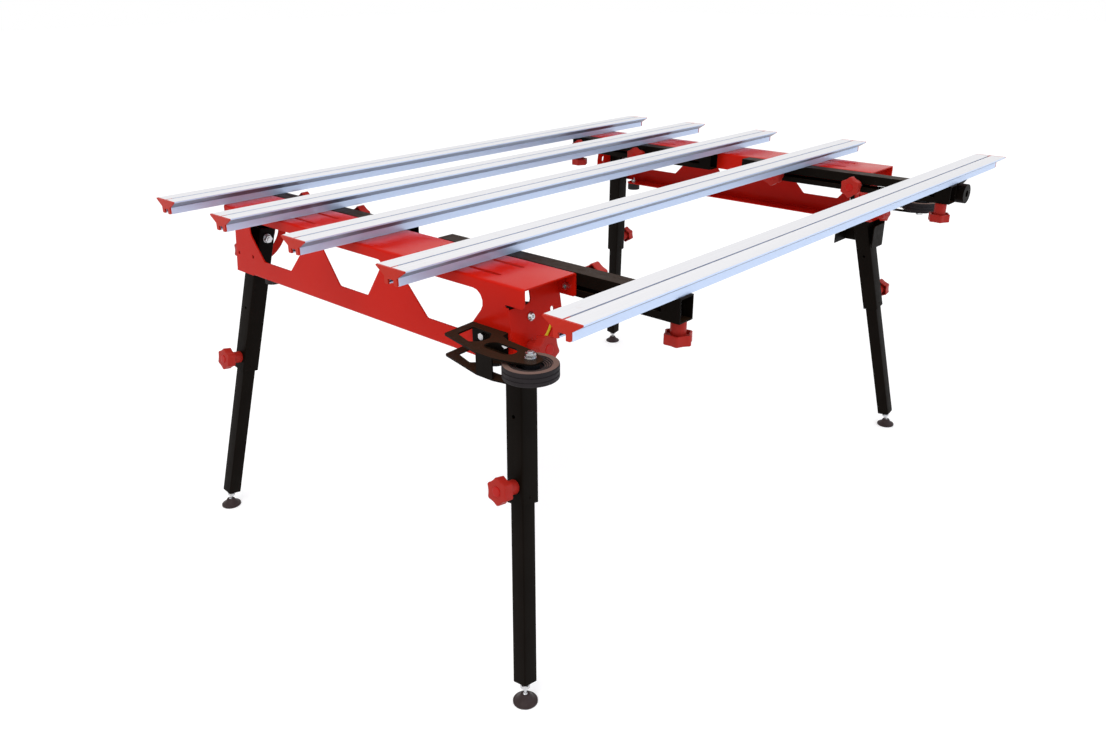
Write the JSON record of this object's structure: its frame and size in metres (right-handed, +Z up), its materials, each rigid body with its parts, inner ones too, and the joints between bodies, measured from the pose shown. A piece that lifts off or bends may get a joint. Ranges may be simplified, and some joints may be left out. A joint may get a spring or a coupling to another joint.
{
  "type": "slab work table",
  "caption": "Folding work table for large slabs: slotted aluminium rails on folded steel beams, with splayed telescopic legs that fold under it.",
  "frame": {"origin": "on the floor, under the middle of the table's box", "axes": "+X along the rails to the right, +Y across the table to rail 1, away from the end with the wheels, +Z up"},
  "size_m": [1.8, 1.348, 0.862],
  "materials": {
    "red_powder_coat": "glossy powder coat",
    "black_powder_coat": "satin powder coat",
    "rail_aluminium": "extruded and anodised",
    "red_knob_plastic": "moulded, semi-gloss",
    "red_cap_plastic": "moulded, satin",
    "zinc_steel": "zinc plated",
    "black_rubber": "moulded rubber",
    "black_plastic": "moulded, matt",
    "wheel_rubber": "moulded rubber tyre on a nylon hub"
  },
  "bodies": {
    "frame": {"beam_left": "red_powder_coat", "beam_right": "red_powder_coat", "wheel_brackets": "black_powder_coat", "leg_stop_bracket": "black_powder_coat", "frame_bolts": "zinc_steel", "bumpers": "black_rubber", "rail_3": "rail_aluminium", "rail_3_caps": "red_cap_plastic"},
    "near_extension": {"near_extensions": "black_powder_coat", "end_stop": "black_powder_coat", "rail_5": "rail_aluminium", "rail_5_caps": "red_cap_plastic"},
    "far_extension": {"far_extensions": "black_powder_coat", "rail_1": "rail_aluminium", "rail_1_caps": "red_cap_plastic"},
    "sliding_rail_2": {"rail_2": "rail_aluminium", "rail_2_caps": "red_cap_plastic", "rail_2_bolts": "zinc_steel"},
    "sliding_rail_4": {"rail_4": "rail_aluminium", "rail_4_caps": "red_cap_plastic", "rail_4_bolts": "zinc_steel"},
    "leg_near_left": {"leg_outer_near_left": "black_powder_coat"},
    "lower_leg_near_left": {"leg_inner_near_left": "black_powder_coat"},
    "foot_screw_near_left": {"foot_stem_near_left": "zinc_steel"},
    "foot_near_left": {"foot_pad_near_left": "black_plastic"},
    "leg_lock_near_left": {"leg_knob_near_left": "red_knob_plastic"},
    "height_lock_near_left": {"height_knob_near_left": "red_knob_plastic"},
    "leg_near_right": {"leg_outer_near_right": "black_powder_coat"},
    "lower_leg_near_right": {"leg_inner_near_right": "black_powder_coat"},
    "foot_screw_near_right": {"foot_stem_near_right": "zinc_steel"},
    "foot_near_right": {"foot_pad_near_right": "black_plastic"},
    "leg_lock_near_right": {"leg_knob_near_right": "red_knob_plastic"},
    "height_lock_near_right": {"height_knob_near_right": "red_knob_plastic"},
    "leg_far_left": {"leg_outer_far_left": "black_powder_coat"},
    "lower_leg_far_left": {"leg_inner_far_left": "black_powder_coat"},
    "foot_screw_far_left": {"foot_stem_far_left": "zinc_steel"},
    "foot_far_left": {"foot_pad_far_left": "black_plastic"},
    "leg_lock_far_left": {"leg_knob_far_left": "red_knob_plastic"},
    "height_lock_far_left": {"height_knob_far_left": "red_knob_plastic"},
    "leg_far_right": {"leg_outer_far_right": "black_powder_coat"},
    "lower_leg_far_right": {"leg_inner_far_right": "black_powder_coat"},
    "foot_screw_far_right": {"foot_stem_far_right": "zinc_steel"},
    "foot_far_right": {"foot_pad_far_right": "black_plastic"},
    "leg_lock_far_right": {"leg_knob_far_right": "red_knob_plastic"},
    "height_lock_far_right": {"height_knob_far_right": "red_knob_plastic"},
    "clamp_near_left_outer": {"clamp_knob_near_left_outer": "red_knob_plastic"},
    "clamp_near_left_inner": {"clamp_knob_near_left_inner": "red_knob_plastic"},
    "rail_clamp_near_left": {"rail_knob_near_left": "red_knob_plastic"},
    "clamp_near_right_outer": {"clamp_knob_near_right_outer": "red_knob_plastic"},
    "clamp_near_right_inner": {"clamp_knob_near_right_inner": "red_knob_plastic"},
    "rail_clamp_near_right": {"rail_knob_near_right": "red_knob_plastic"},
    "clamp_far_left_outer": {"clamp_knob_far_left_outer": "red_knob_plastic"},
    "clamp_far_left_inner": {"clamp_knob_far_left_inner": "red_knob_plastic"},
    "rail_clamp_far_left": {"rail_knob_far_left": "red_knob_plastic"},
    "clamp_far_right_outer": {"clamp_knob_far_right_outer": "red_knob_plastic"},
    "clamp_far_right_inner": {"clamp_knob_far_right_inner": "red_knob_plastic"},
    "rail_clamp_far_right": {"rail_knob_far_right": "red_knob_plastic"},
    "wheel_left": {"wheel_left": "wheel_rubber"},
    "wheel_right": {"wheel_right": "wheel_rubber"},
    "stop_lock": {"stop_knob": "red_knob_plastic"}
  },
  "joints": [
    {"name": "leg_fold_near_left", "type": "hinge", "parent": "frame", "child": "leg_near_left", "pos_m": [-0.71, -0.35951, 0.754], "axis": [0, -0.9871, 0.1599], "range_deg": [0, 100]},
    {"name": "leg_height_near_left", "type": "slide", "parent": "leg_near_left", "child": "lower_leg_near_left", "axis": [0.1736, 0.1575, 0.9721], "range_m": [0, 0.22]},
    {"name": "foot_level_near_left", "type": "slide", "parent": "lower_leg_near_left", "child": "foot_screw_near_left", "axis": [0.1736, 0.1575, 0.9721], "range_m": [-0.02, 0.007]},
    {"name": "foot_tilt_near_left", "type": "hinge", "parent": "foot_screw_near_left", "child": "foot_near_left", "pos_m": [-0.84183, -0.47904, 0.016], "axis": [0, 1, 0], "range_deg": [-8, 8]},
    {"name": "leg_lock_turn_near_left", "type": "hinge", "parent": "leg_near_left", "child": "leg_lock_near_left", "pos_m": [-0.72007, -0.41504, 0.70513], "axis": [0, -0.9871, 0.1599], "continuous": true},
    {"name": "height_lock_turn_near_left", "type": "hinge", "parent": "leg_near_left", "child": "height_lock_near_left", "pos_m": [-0.8078, -0.40952, 0.44525], "axis": [-0.9848, 0.0278, 0.1714], "continuous": true},
    {"name": "leg_fold_near_right", "type": "hinge", "parent": "frame", "child": "leg_near_right", "pos_m": [0.69, -0.35951, 0.754], "axis": [0, 0.9871, -0.1599], "range_deg": [0, 100]},
    {"name": "leg_height_near_right", "type": "slide", "parent": "leg_near_right", "child": "lower_leg_near_right", "axis": [-0.1736, 0.1575, 0.9721], "range_m": [0, 0.22]},
    {"name": "foot_level_near_right", "type": "slide", "parent": "lower_leg_near_right", "child": "foot_screw_near_right", "axis": [-0.1736, 0.1575, 0.9721], "range_m": [-0.02, 0.007]},
    {"name": "foot_tilt_near_right", "type": "hinge", "parent": "foot_screw_near_right", "child": "foot_near_right", "pos_m": [0.82183, -0.47904, 0.016], "axis": [0, 1, 0], "range_deg": [-8, 8]},
    {"name": "leg_lock_turn_near_right", "type": "hinge", "parent": "leg_near_right", "child": "leg_lock_near_right", "pos_m": [0.70007, -0.41504, 0.70513], "axis": [0, -0.9871, 0.1599], "continuous": true},
    {"name": "height_lock_turn_near_right", "type": "hinge", "parent": "leg_near_right", "child": "height_lock_near_right", "pos_m": [0.7878, -0.40952, 0.44525], "axis": [0.9848, 0.0278, 0.1714], "continuous": true},
    {"name": "leg_fold_far_left", "type": "hinge", "parent": "frame", "child": "leg_far_left", "pos_m": [-0.71, 0.52948, 0.754], "axis": [0, -0.9871, -0.1599], "range_deg": [0, 100]},
    {"name": "leg_height_far_left", "type": "slide", "parent": "leg_far_left", "child": "lower_leg_far_left", "axis": [0.1736, -0.1575, 0.9721], "range_m": [0, 0.22]},
    {"name": "foot_level_far_left", "type": "slide", "parent": "lower_leg_far_left", "child": "foot_screw_far_left", "axis": [0.1736, -0.1575, 0.9721], "range_m": [-0.02, 0.007]},
    {"name": "foot_tilt_far_left", "type": "hinge", "parent": "foot_screw_far_left", "child": "foot_far_left", "pos_m": [-0.84183, 0.64902, 0.016], "axis": [0, 1, 0], "range_deg": [-8, 8]},
    {"name": "leg_lock_turn_far_left", "type": "hinge", "parent": "leg_far_left", "child": "leg_lock_far_left", "pos_m": [-0.72007, 0.58501, 0.70513], "axis": [0, 0.9871, 0.1599], "continuous": true},
    {"name": "height_lock_turn_far_left", "type": "hinge", "parent": "leg_far_left", "child": "height_lock_far_left", "pos_m": [-0.8078, 0.57949, 0.44525], "axis": [-0.9848, -0.0278, 0.1714], "continuous": true},
    {"name": "leg_fold_far_right", "type": "hinge", "parent": "frame", "child": "leg_far_right", "pos_m": [0.69, 0.52948, 0.754], "axis": [0, 0.9871, 0.1599], "range_deg": [0, 100]},
    {"name": "leg_height_far_right", "type": "slide", "parent": "leg_far_right", "child": "lower_leg_far_right", "axis": [-0.1736, -0.1575, 0.9721], "range_m": [0, 0.22]},
    {"name": "foot_level_far_right", "type": "slide", "parent": "lower_leg_far_right", "child": "foot_screw_far_right", "axis": [-0.1736, -0.1575, 0.9721], "range_m": [-0.02, 0.007]},
    {"name": "foot_tilt_far_right", "type": "hinge", "parent": "foot_screw_far_right", "child": "foot_far_right", "pos_m": [0.82183, 0.64902, 0.016], "axis": [0, 1, 0], "range_deg": [-8, 8]},
    {"name": "leg_lock_turn_far_right", "type": "hinge", "parent": "leg_far_right", "child": "leg_lock_far_right", "pos_m": [0.70007, 0.58501, 0.70513], "axis": [0, 0.9871, 0.1599], "continuous": true},
    {"name": "height_lock_turn_far_right", "type": "hinge", "parent": "leg_far_right", "child": "height_lock_far_right", "pos_m": [0.7878, 0.57949, 0.44525], "axis": [0.9848, -0.0278, 0.1714], "continuous": true},
    {"name": "near_extension_slide", "type": "slide", "parent": "frame", "child": "near_extension", "axis": [0, -1, 0], "range_m": [-0.04, 0.08]},
    {"name": "clamp_near_left_outer_turn", "type": "hinge", "parent": "frame", "child": "clamp_near_left_outer", "pos_m": [-0.55, -0.40352, 0.8011], "axis": [1, 0, 0], "continuous": true},
    {"name": "clamp_near_left_inner_turn", "type": "hinge", "parent": "frame", "child": "clamp_near_left_inner", "pos_m": [-0.55, -0.16601, 0.8011], "axis": [1, 0, 0], "continuous": true},
    {"name": "rail_clamp_near_left_turn", "type": "hinge", "parent": "near_extension", "child": "rail_clamp_near_left", "pos_m": [-0.5948, -0.63401, 0.753], "axis": [0, 0, -1], "continuous": true},
    {"name": "clamp_near_right_outer_turn", "type": "hinge", "parent": "frame", "child": "clamp_near_right_outer", "pos_m": [0.53, -0.40352, 0.8011], "axis": [-1, 0, 0], "continuous": true},
    {"name": "clamp_near_right_inner_turn", "type": "hinge", "parent": "frame", "child": "clamp_near_right_inner", "pos_m": [0.53, -0.16601, 0.8011], "axis": [-1, 0, 0], "continuous": true},
    {"name": "rail_clamp_near_right_turn", "type": "hinge", "parent": "near_extension", "child": "rail_clamp_near_right", "pos_m": [0.5748, -0.63401, 0.753], "axis": [0, 0, -1], "continuous": true},
    {"name": "far_extension_slide", "type": "slide", "parent": "frame", "child": "far_extension", "axis": [0, 1, 0], "range_m": [-0.014, 0.09]},
    {"name": "clamp_far_left_outer_turn", "type": "hinge", "parent": "frame", "child": "clamp_far_left_outer", "pos_m": [-0.55, 0.57349, 0.8011], "axis": [1, 0, 0], "continuous": true},
    {"name": "clamp_far_left_inner_turn", "type": "hinge", "parent": "frame", "child": "clamp_far_left_inner", "pos_m": [-0.55, 0.33598, 0.8011], "axis": [1, 0, 0], "continuous": true},
    {"name": "rail_clamp_far_left_turn", "type": "hinge", "parent": "far_extension", "child": "rail_clamp_far_left", "pos_m": [-0.5948, 0.61099, 0.753], "axis": [0, 0, -1], "continuous": true},
    {"name": "clamp_far_right_outer_turn", "type": "hinge", "parent": "frame", "child": "clamp_far_right_outer", "pos_m": [0.53, 0.57349, 0.8011], "axis": [-1, 0, 0], "continuous": true},
    {"name": "clamp_far_right_inner_turn", "type": "hinge", "parent": "frame", "child": "clamp_far_right_inner", "pos_m": [0.53, 0.33598, 0.8011], "axis": [-1, 0, 0], "continuous": true},
    {"name": "rail_clamp_far_right_turn", "type": "hinge", "parent": "far_extension", "child": "rail_clamp_far_right", "pos_m": [0.5748, 0.61099, 0.753], "axis": [0, 0, -1], "continuous": true},
    {"name": "rail_2_slide", "type": "slide", "parent": "frame", "child": "sliding_rail_2", "axis": [0, 1, 0], "range_m": [-0.096, 0.11]},
    {"name": "rail_4_slide", "type": "slide", "parent": "frame", "child": "sliding_rail_4", "axis": [0, -1, 0], "range_m": [-0.129, 0.099]},
    {"name": "wheel_turn_left", "type": "hinge", "parent": "frame", "child": "wheel_left", "pos_m": [-0.825, -0.49501, 0.7185], "axis": [0, 0, 1], "continuous": true},
    {"name": "wheel_turn_right", "type": "hinge", "parent": "frame", "child": "wheel_right", "pos_m": [0.805, -0.49501, 0.7185], "axis": [0, 0, 1], "continuous": true},
    {"name": "stop_lock_turn", "type": "hinge", "parent": "frame", "child": "stop_lock", "pos_m": [0.757, -0.39552, 0.64], "axis": [1, 0, 0], "continuous": true}
  ]
}
